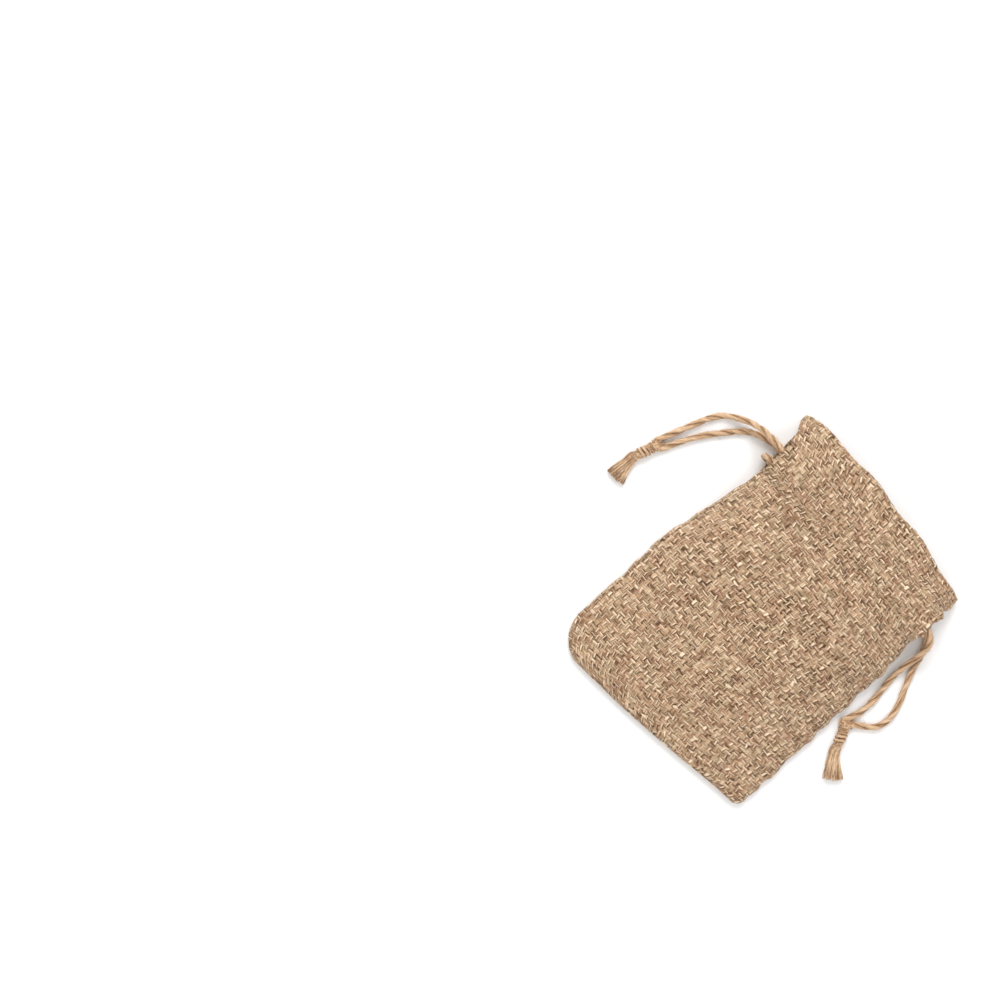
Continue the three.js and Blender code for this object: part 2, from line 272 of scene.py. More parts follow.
class Nodes:
    """Short names for building a node material."""

    def __init__(self, name):
        self.material = bpy.data.materials.new(name)
        self.material.use_nodes = True
        self.tree = self.material.node_tree
        self.shader = self.tree.nodes["Principled BSDF"]
        self.uv = self.add("ShaderNodeUVMap", uv_map="weave").outputs["UV"]

    def link(self, source, target):
        self.tree.links.new(source, target)

    def add(self, kind, **settings):
        node = self.tree.nodes.new(kind)
        for key, value in settings.items():
            setattr(node, key, value)
        return node

    def attribute(self, name):
        return self.add("ShaderNodeAttribute", attribute_name=name).outputs["Fac"]

    def mapped(self, scale, turn=0.0):
        """The piece's UV, in metres, times a scale for each direction."""
        node = self.add("ShaderNodeMapping")
        self.link(self.uv, node.inputs["Vector"])
        node.inputs["Scale"].default_value = (*scale, 1.0)
        node.inputs["Rotation"].default_value = (0.0, 0.0, turn)
        return node.outputs["Vector"]

    def noise(self, scale, detail, turn=0.0):
        node = self.add("ShaderNodeTexNoise")
        self.link(self.mapped(scale, turn), node.inputs["Vector"])
        node.inputs["Scale"].default_value = 1.0
        node.inputs["Detail"].default_value = detail
        node.inputs["Roughness"].default_value = 0.5
        return node.outputs["Fac"]

    def vector(self, operation, a):
        node = self.add("ShaderNodeVectorMath", operation=operation)
        self.link(a, node.inputs[0])
        return node.outputs["Vector"]

    def parts(self, vector):
        node = self.add("ShaderNodeSeparateXYZ")
        self.link(vector, node.inputs["Vector"])
        return node.outputs["X"], node.outputs["Y"]

    def random(self, vector):
        """Three random numbers for each whole vector."""
        node = self.add("ShaderNodeTexWhiteNoise", noise_dimensions="2D")
        self.link(vector, node.inputs["Vector"])
        split = self.add("ShaderNodeSeparateColor")
        self.link(node.outputs["Color"], split.inputs["Color"])
        return tuple(split.outputs)

    def math(self, operation, a, b=None):
        node = self.add("ShaderNodeMath", operation=operation)
        for socket, value in zip(node.inputs, (a, b)):
            if value is None:
                continue
            if isinstance(value, (int, float)):
                socket.default_value = value
            else:
                self.link(value, socket)
        return node.outputs["Value"]

    def plus(self, a, b):
        return self.math("ADD", a, b)

    def minus(self, a, b):
        return self.math("SUBTRACT", a, b)

    def times(self, a, b):
        return self.math("MULTIPLY", a, b)

    def stretch(self, value, low, high, to_low=0.0, to_high=1.0):
        node = self.add("ShaderNodeMapRange")
        self.link(value, node.inputs["Value"])
        settings = {"From Min": low, "From Max": high, "To Min": to_low, "To Max": to_high}
        for socket, number in settings.items():
            node.inputs[socket].default_value = number
        return node.outputs["Result"]

    def ramp(self, value, stops):
        node = self.add("ShaderNodeValToRGB")
        self.link(value, node.inputs["Fac"])
        elements = node.color_ramp.elements
        while len(elements) < len(stops):
            elements.new(0.5)
        for element, (position, color) in zip(elements, stops):
            element.position = position
            element.color = linear(color)
        return node.outputs["Color"]

    def mix(self, share, a, b, blend="MIX"):
        node = self.add("ShaderNodeMix", data_type="RGBA", blend_type=blend)
        if isinstance(share, float):
            node.inputs[0].default_value = share
        else:
            self.link(share, node.inputs[0])
        for socket, value in ((node.inputs[6], a), (node.inputs[7], b)):
            if isinstance(value, tuple):
                socket.default_value = linear(value)
            else:
                self.link(value, socket)
        return node.outputs[2]

    def mix_values(self, share, a, b):
        node = self.add("ShaderNodeMix", data_type="FLOAT")
        self.link(share, node.inputs[0])
        self.link(a, node.inputs[2])
        self.link(b, node.inputs[3])
        return node.outputs[0]

    def bump(self, height, strength, distance):
        node = self.add("ShaderNodeBump")
        self.link(height, node.inputs["Height"])
        node.inputs["Strength"].default_value = strength
        node.inputs["Distance"].default_value = distance
        self.link(node.outputs["Normal"], self.shader.inputs["Normal"])


def linear(color):
    """Colour given as sRGB bytes, as linear numbers."""
    channels = [c / 255 for c in color]
    return tuple(c / 12.92 if c <= 0.04045 else ((c + 0.055) / 1.055) ** 2.4 for c in channels) + (1.0,)


FIBRE_TILT = 0.35


def burlap_material(name):
    """Melange yarns: each crossing shows the fibres and pale strands of the yarn on top, with painted
    highlight strokes, painted shadow lines beside them and painted shade in the gaps.
    """
    n = Nodes(name)
    is_warp = n.attribute("is_warp")
    depth = n.attribute("depth")
    shade = n.attribute("shade")

    def along_yarns(fine, coarse, detail, tilt=0.0):
        warp = n.noise((fine, coarse), detail, tilt)
        weft = n.noise((coarse, fine), detail, -tilt)
        return n.mix_values(is_warp, weft, warp)

    fibres = along_yarns(5200.0, 620.0, 3.0, FIBRE_TILT)
    melange = along_yarns(1500.0, 260.0, 2.0)
    blotch = n.noise((330.0, 330.0), 3.0)

    # place in the crossing: across and along the yarn on top, and random numbers for it
    cells = n.mapped((1 / WARP_PITCH, 1 / WEFT_PITCH))
    cell_x, cell_y = n.parts(n.vector("FRACTION", cells))
    across = n.minus(n.mix_values(is_warp, cell_y, cell_x), 0.5)
    along = n.minus(n.mix_values(is_warp, cell_x, cell_y), 0.5)
    first, second, third = n.random(n.vector("FLOOR", cells))
    slant = n.times(along, n.stretch(first, 0.0, 1.0, -0.08, 0.08))

    def line_at(place, half):
        off = n.math("ABSOLUTE", n.minus(n.minus(across, place), slant))
        return n.stretch(off, half * 0.35, half, 1.0, 0.0)

    # painted highlight: a thin pale stroke along each float stands for the lit crown of the yarn, partly
    # its own pale fibre
    highlight_place = n.stretch(along_yarns(470.0, 130.0, 1.0), 0.3, 0.7, -0.38, 0.24)
    pale_strand_highlight = n.times(line_at(highlight_place, 0.115), n.stretch(second, 0.0, 0.55, 0.1, 1.0))
    # painted shadow: a thin dark line beside each pale stroke, where the yarn's edge falls in shade
    shadow_place = n.plus(highlight_place, 0.2)
    dark = n.times(line_at(shadow_place, 0.15), n.stretch(third, 0.0, 0.5, 0.2, 1.0))

    # painted highlight strokes, partly pale fibre: single pale strands that run on over several crossings
    for scale, on_weft, on_warp in (((3300.0, 200.0), 0.3, 1.0), ((200.0, 3300.0), 1.0, 0.3)):
        straw_highlight = n.stretch(n.noise(scale, 1.0), 0.63, 0.72)
        straw_highlight = n.times(straw_highlight, n.stretch(is_warp, 0.0, 1.0, on_weft, on_warp))
        pale_strand_highlight = n.math("MAXIMUM", pale_strand_highlight, straw_highlight)

    tone = n.plus(n.times(melange, 0.45), n.times(fibres, 0.55))
    tone = n.plus(tone, n.stretch(shade, -1.0, 1.0, -0.06, 0.06))
    tone = n.plus(tone, n.stretch(blotch, 0.3, 0.7, -0.03, 0.03))
    tone = n.plus(tone, n.stretch(first, 0.0, 1.0, -0.07, 0.06))
    body = n.ramp(tone, [
        (0.34, (92, 65, 43)),
        (0.42, (133, 101, 74)),
        (0.50, (167, 134, 104)),
        (0.58, (191, 161, 129)),
        (0.68, (220, 195, 164)),
    ])
    hue = n.noise((260.0, 260.0), 2.0, 0.6)
    body = n.mix(n.stretch(hue, 0.42, 0.66, 0.0, 0.3), body, (166, 124, 102))
    body = n.mix(n.stretch(hue, 0.56, 0.34, 0.0, 0.22), body, (176, 164, 132))
    # painted shadow lines, mixed towards dark brown
    body = n.mix(n.times(dark, 0.88), body, (82, 56, 37))
    # painted highlight strokes, mixed towards cream
    body = n.mix(n.times(pale_strand_highlight, 0.8), body, (246, 226, 197))
    # painted shade: the colour is multiplied darker where the depth attribute is low, in the pits and gaps
    # between yarns
    pit_shade = n.ramp(depth, [
        (0.0, (84, 58, 40)),
        (0.32, (124, 97, 75)),
        (0.6, (230, 216, 200)),
        (0.82, (255, 255, 255)),
    ])
    color = n.mix(1.0, body, pit_shade, "MULTIPLY")
    n.link(color, n.shader.inputs["Base Color"])
    n.shader.inputs["Roughness"].default_value = 0.92
    n.shader.inputs["Specular IOR Level"].default_value = 0.18
    n.shader.inputs["Sheen Weight"].default_value = 0.1
    n.shader.inputs["Sheen Roughness"].default_value = 0.5
    relief = n.minus(n.plus(n.times(fibres, 0.8), pale_strand_highlight), dark)
    n.bump(relief, 0.6, 0.12 * MM)
    return n.material


def jute_material(name, dark, base, light):
    """Long loose bast fibres, with painted shade: lighter where they stand proud and darker in the grooves.
    """
    n = Nodes(name)
    shade = n.attribute("shade")
    streaks = n.noise((300.0, 4600.0), 3.0)
    patches = n.noise((180.0, 600.0), 2.0)
    tone = n.plus(n.times(streaks, 0.65), n.times(patches, 0.35))
    # painted shade on the cord's plies, from the shade attribute; on hairs, fibres and threads the
    # attribute is a random or fixed tone
    tone = n.plus(tone, n.stretch(shade, -1.0, 1.0, -0.21, 0.17))
    color = n.ramp(tone, [(0.26, dark), (0.48, base), (0.68, light)])
    n.link(color, n.shader.inputs["Base Color"])
    n.shader.inputs["Roughness"].default_value = 0.82
    n.shader.inputs["Specular IOR Level"].default_value = 0.25
    n.shader.inputs["Sheen Weight"].default_value = 0.15
    n.bump(streaks, 0.6, 0.15 * MM)
    return n.material


BURLAP = burlap_material("burlap")
JUTE = jute_material("jute_cord", (108, 76, 48), (190, 153, 117), (238, 211, 178))
THREAD = jute_material("sewing_thread", (142, 114, 86), (180, 150, 118), (206, 180, 148))


# -------- camera

CAMERA_TURN = math.radians(47.1)
CAMERA_AIM = (-74.0 * MM, -33.5 * MM)
CAMERA_HEIGHT = 0.7
VIEW_WIDTH = 282.8 * MM


def make_camera():
    data = bpy.data.cameras.new("camera")
    data.sensor_width = 36.0
    data.lens = data.sensor_width * CAMERA_HEIGHT / VIEW_WIDTH
    data.clip_start = 0.01
    camera = bpy.data.objects.new("camera", data)
    camera.location = (CAMERA_AIM[0], CAMERA_AIM[1], CAMERA_HEIGHT)
    camera.rotation_euler = (0.0, 0.0, CAMERA_TURN)
    bpy.context.scene.collection.objects.link(camera)
    bpy.context.scene.camera = camera


make_camera()


# -------- cords

# Points of each free strand as (x, y, lift), in metres, from the casing's open end to the knot.
# Lift is 1 at the cord's own level in its channel and 0 lying on the surface.
LEFT_FRONT_STRAND = [
    (-0.0318, 0.0337, 1), (-0.0340, 0.0338, 0.97), (-0.0362, 0.0338, 0.86),
    (-0.0384, 0.0337, 0.67), (-0.0406, 0.0333, 0.45), (-0.0428, 0.0326, 0.25),
    (-0.0450, 0.0315, 0.1), (-0.0472, 0.0300, 0.02), (-0.0492, 0.0280, 0),
    (-0.0508, 0.0253, 0), (-0.0520, 0.0221, 0), (-0.0531, 0.0189, 0),
    (-0.0542, 0.0159, 0), (-0.0553, 0.0130, 0), (-0.0563, 0.0103, 0),
]
LEFT_BACK_STRAND = [
    (-0.0318, 0.0337, 1), (-0.0340, 0.0335, 0.9), (-0.0363, 0.0330, 0.6),
    (-0.0386, 0.0321, 0.25), (-0.0408, 0.0306, 0.05), (-0.0428, 0.0285, 0),
    (-0.0446, 0.0261, 0), (-0.0464, 0.0236, 0), (-0.0482, 0.0210, 0),
    (-0.0498, 0.0182, 0), (-0.0512, 0.0153, 0), (-0.0525, 0.0124, 0),
    (-0.0537, 0.0095, 0),
]
LEFT_TAILS = [
    [(-0.0588, 0.0026), (-0.0588, 0.0), (-0.0586, -0.0028), (-0.0582, -0.0056)],
    [(-0.0559, 0.0019), (-0.0555, -0.0005), (-0.0552, -0.0029), (-0.0548, -0.0054)],
]
RIGHT_FRONT_STRAND = [
    (0.0318, 0.0293, 1), (0.0338, 0.0292, 0.98), (0.0358, 0.0284, 0.9),
    (0.0373, 0.0268, 0.77), (0.0380, 0.0246, 0.59), (0.0382, 0.0220, 0.38),
    (0.0381, 0.0192, 0.18), (0.0380, 0.0163, 0.05), (0.0381, 0.0133, 0),
    (0.0385, 0.0101, 0), (0.0390, 0.0069, 0), (0.0393, 0.0037, 0),
    (0.0392, 0.0007, 0), (0.0384, -0.0023, 0), (0.0373, -0.0052, 0),
]
RIGHT_BACK_STRAND = [
    (0.0318, 0.0293, 1), (0.0342, 0.0290, 0.85), (0.0364, 0.0280, 0.55),
    (0.0380, 0.0261, 0.25), (0.0391, 0.0235, 0.05), (0.0400, 0.0206, 0),
    (0.0411, 0.0176, 0), (0.0425, 0.0146, 0), (0.0440, 0.0116, 0),
    (0.0453, 0.0086, 0), (0.0460, 0.0055, 0), (0.0459, 0.0025, 0),
    (0.0446, -0.0002, 0), (0.0423, -0.0021, 0), (0.0399, -0.0040, 0),
]
RIGHT_TAILS = [
    [(0.0406, -0.0127), (0.0419, -0.0148), (0.0439, -0.0169), (0.0466, -0.0193)],
    [(0.0432, -0.0115), (0.0444, -0.0132), (0.0463, -0.0150), (0.0489, -0.0173)],
]

PLY_TWIST_LENGTH = 13 * MM
PLY_OFFSET = 0.43 * MM
PLY_THICK = 0.47 * MM
PLY_WIDE = 0.69 * MM
PLY_SIDES = 26
PLY_STRANDS = 7
CORD_STEP = 0.3 * MM
KNOT_HALF = 3.2 * MM
KNOT_TURNS = 2.2
KNOT_CORE = 0.8 * MM
KNOT_WRAP = 0.9 * MM
KNOT_CORE_SCALE = 0.85
KNOT_WRAP_SCALE = 0.52
KNOT_FAN = 70
TAIL_FIBRES = 130
TAIL_WAIST = 0.85 * MM
TAIL_BRUSH = 1.6 * MM
TAIL_LEVEL = 1.3 * MM
TAIL_SPREAD = (0.5, 0.5, 0.65, 0.9)
RUN_INSET = 1.2 * MM
TURN_SHOULDER = 0.4 * MM
TURN_EASE = 0.15 * MM
TURN_REACH = 1.0 * MM
TURN_DROP = 2.2 * MM


def lifted(points, exit_z):
    """Turns each point's lift into a height."""
    return [(x, y, CORD_RADIUS + lift * (exit_z - CORD_RADIUS)) for x, y, lift in points]


def two_ply(bundle, line, start, rng, scale=1.0, frames=None):
    """Adds both plies of a cord along a line. start is how far along the whole cord it begins."""
    tangents, across, upward = frames or side_frames(line)
    along = start + lengths(line)
    angles = np.linspace(0.0, 2 * math.pi, PLY_SIDES, endpoint=False)
    for ply in range(2):
        slack = 0.9 * np.sin(along / (7.3 * MM)) + 0.5 * np.sin(along / (3.1 * MM) + 1.0)
        turn = 2 * math.pi * along / PLY_TWIST_LENGTH + slack + ply * math.pi
        out = across * np.cos(turn)[:, None] + upward * np.sin(turn)[:, None]
        side = np.cross(tangents, out)
        swell = 1 + 0.07 * np.sin(2 * math.pi * along / (6.3 * MM) + rng.uniform(0, 6))
        swell = swell * scale
        # fine ridges of fibre bundles, which wind round the ply the other way
        ridge = PLY_STRANDS * angles[None, :] + 2 * math.pi * along[:, None] / (5.5 * MM)
        ridge = np.cos(ridge + 1.3 * np.sin(2 * angles[None, :] + along[:, None] / (1.7 * MM)))
        groove = 1 + 0.07 * ridge
        thick = PLY_THICK * swell[:, None] * groove * np.cos(angles)[None, :]
        wide = PLY_WIDE * swell[:, None] * groove * np.sin(angles)[None, :]
        centre = line + out * (PLY_OFFSET * scale)
        points = centre[:, None] + out[:, None] * thick[:, :, None] + side[:, None] * wide[:, :, None]
        # painted shade: each ply lighter on its outer side and on its ridges, darker where the plies meet
        # and in the grooves
        outward = (np.cos(angles)[None, :] + 1) / 2
        shade = 0.3 * ridge + 0.85 * outward - 0.55
        u = along[:, None] + 0.25 * MM * angles[None, :]
        v = (angles * PLY_WIDE)[None, :] - 0.22 * (along[:, None] - start)
        uv = np.stack([u, v + ply * 9.0 * MM], axis=-1).reshape(-1, 2)
        bundle.add(points.reshape(-1, 3), tube_faces(len(line), PLY_SIDES), uv, shade.ravel())


def loose_fibres(bundle, line, count, reach, rng):
    """Short hairs that stand off a cord."""
    tangents, across, upward = side_frames(line)
    for _ in range(count):
        i = rng.integers(2, len(line) - 3)
        angle = rng.uniform(0, 2 * math.pi)
        out = across[i] * math.cos(angle) + upward[i] * math.sin(angle)
        lean = tangents[i] * rng.choice([-1, 1])
        length = rng.uniform(0.5, 1.0) * reach
        t = np.linspace(0, 1, 6)[:, None]
        root = line[i] + out * 0.75 * MM
        curl = np.cross(out, lean) * rng.normal(0, 0.35)
        hair = root + lean * t * length + out * (t ** 1.4) * length * rng.uniform(0.15, 0.5)
        hair = hair + curl * (t ** 2) * length
        hair[:, 2] = np.maximum(hair[:, 2], 0.04 * MM)
        radius = np.linspace(0.035, 0.012, 6) * MM
        bundle.add_tube(hair, radius, 3, rng.uniform(-0.1, 0.9))


def knot_piece(name, centre, axis, strands, rng):
    """Overhand knot in both strands, drawn tight: slim wraps round a core, fibres fanned into it."""
    bundle = Bundle()
    level = np.array([-axis[1], axis[0], 0.0])
    top = np.array([0.0, 0.0, 1.0])
    centre = centre.copy()
    centre[2] = KNOT_CORE + KNOT_WRAP
    mouth = centre - axis * KNOT_HALF
    throat = centre + axis * KNOT_HALF
    for strand in strands:
        head = strand[-1]
        ahead = unit(strand[-1] - strand[-6])
        side = level * np.sign(np.dot(head - centre, level)) * 0.55 * MM
        bend = head + ahead * 1.1 * MM
        core = [head, (bend + mouth + side) / 2, mouth + side, centre + side, throat + side]
        two_ply(bundle, curve_through(core, CORD_STEP), 0.0, rng, KNOT_CORE_SCALE)
    t = np.linspace(0, 1, 260)
    for shift in (0.0, math.pi):
        angle = 2 * math.pi * KNOT_TURNS * t + shift
        reach = KNOT_CORE + 0.45 * MM * smooth(t / 0.12) * smooth((1 - t) / 0.12)
        reach = reach * (1 + 0.08 * np.sin(5.1 * t + shift))
        line = centre + axis * ((t - 0.5) * 2 * (KNOT_HALF - 0.5 * MM))[:, None]
        line = line + level * (reach * np.cos(angle))[:, None]
        line = line + top * (reach * 0.92 * np.sin(angle))[:, None]
        two_ply(bundle, resample(line, CORD_STEP), 0.0, rng, KNOT_WRAP_SCALE)
    for _ in range(KNOT_FAN):
        strand = strands[rng.integers(0, 2)]
        back = int(rng.uniform(0.4, 4.6) * MM / CORD_STEP)
        root = strand[-1 - back] + rng.normal(0, 0.4, 3) * MM
        end = mouth + level * rng.normal(0, 0.7) * MM + top * rng.uniform(-0.6, 0.8) * MM + axis * 0.8 * MM
        sag = (root + end) / 2 + unit(strand[-1] - strand[-1 - back]) * 0.5 * MM
        hair = curve_through([root, sag, end], 0.5 * MM)
        hair[:, 2] = np.maximum(hair[:, 2], 0.2 * MM)
        bundle.add_tube(hair, rng.uniform(0.08, 0.15) * MM, 5, rng.uniform(-0.6, 0.9))
    return bundle.piece(name, JUTE)


def tail_piece(name, route, rng):
    """A cut end that has come untwisted into its fibres and spreads like a brush."""
    bundle = Bundle()
    line = curve_through(route, 0.6 * MM)
    _, across, upward = side_frames(line)
    share = np.linspace(0, 1, len(line))
    spread_at = TAIL_WAIST + (TAIL_BRUSH - TAIL_WAIST) * share ** 1.7
    for _ in range(TAIL_FIBRES):
        spread = math.sqrt(rng.uniform(0, 1))
        angle = rng.uniform(0, 2 * math.pi)
        phase = rng.uniform(0, 6)
        turned = angle + 0.9 * share + rng.normal(0, 0.4) * share ** 2
        reach = spread_at * spread
        wave = 0.14 * MM * np.sin(share * 7 + phase) * share
        fibre = line + across * (reach * np.cos(turned) + wave)[:, None]
        fibre = fibre + upward * (0.75 * reach * np.sin(turned))[:, None]
        stop = rng.uniform(0.93, 1.03)
        fibre = fibre[0] + (fibre - fibre[0]) * stop
        radius = rng.uniform(0.09, 0.17) * MM * np.linspace(1.0, 0.6, len(line))
        fibre[:, 2] = np.maximum(fibre[:, 2], radius)
        bundle.add_tube(fibre, radius, 5, rng.uniform(-0.6, 1.0))
    return bundle.piece(name, JUTE)


def gathered(tail, tails, throat):
    """A tail's route, drawn in towards its neighbour so that both leave the knot as one tassel."""
    between_tails = np.mean(tails, axis=0)
    drawn_in = between_tails + (np.array(tail) - between_tails) * np.array(TAIL_SPREAD)[:, None]
    first = throat * 0.7 + np.array([*tail[0], throat[2]]) * 0.3
    return [first] + [np.array([x, y, TAIL_LEVEL]) for x, y in drawn_in]


def drawcord(name, side, front_strand, back_strand, tails, seed):
    """One whole cord, cut into pieces where the CAD cuts it."""
    rng = np.random.default_rng(seed)
    front_z = middle(f"{name}_front_run").z
    back_z = middle(f"{name}_back_run").z
    y = middle(f"{name}_front_run").y
    low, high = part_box(f"{name}_turn")
    turn_z = (low.z + high.z) / 2
    shoulder_x = -side * (NECK_HALF + TURN_SHOULDER)
    turn_x = -side * (NECK_HALF + TURN_REACH)

    front = lifted(front_strand, front_z)
    back = lifted(back_strand, back_z)
    reach = side * (NECK_HALF - RUN_INSET)
    turn = [
        (-reach, y, front_z),
        (shoulder_x, y, front_z - TURN_EASE),
        (turn_x, y, front_z - TURN_DROP),
        (turn_x, y, turn_z),
        (turn_x, y, back_z + TURN_DROP),
        (shoulder_x, y, back_z + TURN_EASE),
        (-reach, y, back_z),
    ]
    run = [(f * reach, y) for f in (1.0, 0.5, 0.0, -0.5)]
    route = front[::-1] + [(x, v, front_z) for x, v in run]
    route = route + turn + [(x, v, back_z) for x, v in run[::-1]] + back
    line = curve_through(route, CORD_STEP)
    for _ in range(6):
        line[1:-1] = (line[:-2] + 2 * line[1:-1] + line[2:]) / 4
    frames = side_frames(line)

    out = line[:, 0] * side
    half = len(line) // 2
    index = np.arange(len(line))
    front_exit = int(index[(out >= NECK_HALF) & (index < half)].max())
    back_exit = int(index[(out >= NECK_HALF) & (index > half)].min())
    front_turn = int(index[(out >= -NECK_HALF) & (index < half)].max())
    back_turn = int(index[(out >= -NECK_HALF) & (index > half)].min())
    cuts = {
        "front_strand": (0, front_exit),
        "front_run": (front_exit, front_turn),
        "turn": (front_turn, back_turn),
        "back_run": (back_turn, back_exit),
        "back_strand": (back_exit, len(line) - 1),
    }
    pieces = {}
    for part, (first, last) in cuts.items():
        bundle = Bundle()
        span = slice(first, last + 1)
        part_frames = tuple(f[span] for f in frames)
        two_ply(bundle, line[span], first * CORD_STEP, rng, 1.0, part_frames)
        pieces[part] = bundle.piece(f"{name}_{part}_twist", JUTE)
        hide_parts(f"{name}_{part}")

    gap = line[-1][:2] - line[0][:2]
    axis = unit(np.array([gap[1], -gap[0], 0.0]))
    axis = axis if axis[1] < 0 else -axis
    centre = np.array(middle(f"{name}_knot"))
    throat = centre + axis * KNOT_HALF
    tail_routes = [gathered(tail, tails, throat) for tail in tails]
    ends = [line[:40][::-1], line[-40:]]
    pieces["knot"] = knot_piece(f"{name}_knot_wraps", centre, axis, ends, rng)
    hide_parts(f"{name}_knot")
    for i, tail in enumerate(tail_routes):
        key = f"tail_{i + 1}"
        pieces[key] = tail_piece(f"{name}_{key}_fibres", tail, rng)
        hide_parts(f"{name}_{key}")

    hairy = {
        "front_fuzz": (line[:front_exit], 260, 1.9 * MM),
        "back_fuzz": (line[back_exit:], 260, 1.9 * MM),
        "turn_fuzz": (line[front_turn:back_turn], 25, 1.2 * MM),
    }
    for part, (path, count, reach) in hairy.items():
        fuzz = Bundle()
        loose_fibres(fuzz, path, count, reach, rng)
        pieces[part] = fuzz.piece(f"{name}_{part}", JUTE)

    for piece in pieces.values():
        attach(piece, name)
    on_front = [pieces[k] for k in ("knot", "tail_1", "tail_2", "front_fuzz")]
    strands = {
        "front_strand": (line[:front_exit + 1][::-1], on_front),
        "back_strand": (line[back_exit:], [pieces["back_fuzz"]]),
    }
    for part, (path, others) in strands.items():
        length = float(lengths(path)[-1])
        route = path[::4].tolist() + [path[-1].tolist()]
        tuple(path[0])
        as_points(route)
        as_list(others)


drawcord("left_cord", -1, LEFT_FRONT_STRAND, LEFT_BACK_STRAND, LEFT_TAILS, 11)
drawcord("right_cord", 1, RIGHT_FRONT_STRAND, RIGHT_BACK_STRAND, RIGHT_TAILS, 23)


# -------- cloth

SAMPLES_PER_WARP = 9
SAMPLES_PER_WEFT = 8
CRIMP = 0.13 * MM
YARN_RISE = 0.24 * MM
YARN_HALF = 0.465
CREASE = 0.1 * MM
PIT = -0.22 * MM
FOLD_RADIUS = 0.6 * MM
HEM_END_Y = LOWER_ROW_Y - 1.2 * MM
EDGE_SEAM = {-1: 0.45 * MM, 1: 0.2 * MM}
ROLL_RADIUS = 0.3 * MM
ROLL_STEPS = 5
ROLL_TAB = 0.9 * MM
HEM_INSET = 0.8 * MM
STITCH = 2.1 * MM
STITCH_GAP = 0.6 * MM
CLOTH_HAIRS = {"body": 260, "band": 160}


def half_width_at(y, hand):
    """Half the pouch's width: full on the body, drawn in at the casing, flared at the mouth."""
    ruffle_y = UPPER_ROW_Y + 0.4 * MM
    taper = np.clip((y - TAPER_FROM_Y[hand]) / (LOWER_ROW_Y - TAPER_FROM_Y[hand]), 0, 1)
    drawn_in = taper ** 1.5 * (2.5 - 1.5 * taper)
    flared = smooth((y - ruffle_y) / (MOUTH_Y - ruffle_y - MOUTH_BOW))
    return HALF_WIDTH - NECK_PINCH[hand] * drawn_in + MOUTH_FLARE[hand] * flared


def outline_at(y, hand):
    """Half width with the rounded bottom corners taken off."""
    radius = CORNER_RADIUS[hand]
    up = np.clip(radius - (y - BOTTOM_Y), 0.0, radius)
    return half_width_at(y, hand) - (radius - np.sqrt(radius ** 2 - up ** 2))


def steps(y, stops):
    """A value that eases from each (y, value) to the next; both are given in millimetres."""
    value = np.full_like(y, stops[0][1] * MM)
    for (y0, v0), (y1, v1) in zip(stops, stops[1:]):
        value = value + (v1 - v0) * MM * smooth((y - y0 * MM) / ((y1 - y0) * MM))
    return value


# Height of the cloth's side edges as (y, z) in millimetres: sewn together on the body and the
# ruffle, and apart at the casing, where the cords come out.
SEWN = [(-46, 1.5), (0, 1.5), (23.5, 5.8)]
CORNER = [(38.8, 5.8), (44.6, 2.4)]
SIDE_LEVELS = {
    "front_outer": SEWN + [(28.0, 11.8), (35.2, 11.8)] + CORNER,
    "front_inner": [(25, 8.9), (35.2, 8.9), (38.8, 5.7), (44.6, 2.35)],
    "back_outer": SEWN + [(28.0, 0.6), (35.2, 0.6)] + CORNER,
    "back_inner": [(25, 3.6), (35.2, 3.6), (38.8, 5.5), (44.6, 2.3)],
}


def hump(y):
    """0 off the casing and 1 over the cords, with a shallow dip between the two of them."""
    rise = smooth((y - LOWER_ROW_Y) / (2.1 * MM)) * smooth((UPPER_ROW_Y - y) / (2.1 * MM))
    dip = np.exp(-(((y - CHANNEL_Y) / (1.3 * MM)) ** 2))
    return rise * (1 - 0.16 * dip)


def groove(y):
    """Where the two rows of stitches pull the cloth down."""
    pull = sum(np.exp(-(((y - row) / (0.55 * MM)) ** 2)) for row in (LOWER_ROW_Y, UPPER_ROW_Y))
    return 0.22 * MM * pull


def middle_level(face, y):
    """Height of the cloth along the pouch's centre line."""
    below = YARN_RISE + CRIMP / 2
    if face == "front_outer":
        share = np.clip((y - BOTTOM_Y) / (CHANNEL_Y - BOTTOM_Y), 0, 1)
        body = EDGE_TOP_Z + (CROWN_Z - EDGE_TOP_Z) * np.sin(math.pi / 2 * share ** 0.8)
        ruffle = (CROWN_Z - LEDGE_Z) * smooth((y - CHANNEL_Y) / (MOUTH_Y - CHANNEL_Y))
        return body - ruffle - below + (HUMP_Z - CROWN_Z) * hump(y) - groove(y)
    if face == "back_outer":
        return np.full_like(y, below)
    if face == "front_inner":
        return np.full_like(y, INNER_FRONT_Z + below)
    return LEDGE_Z - INNER_FRONT_Z - below + (BACK_HUMP_Z - (LEDGE_Z - INNER_FRONT_Z)) * hump(y) - groove(y)


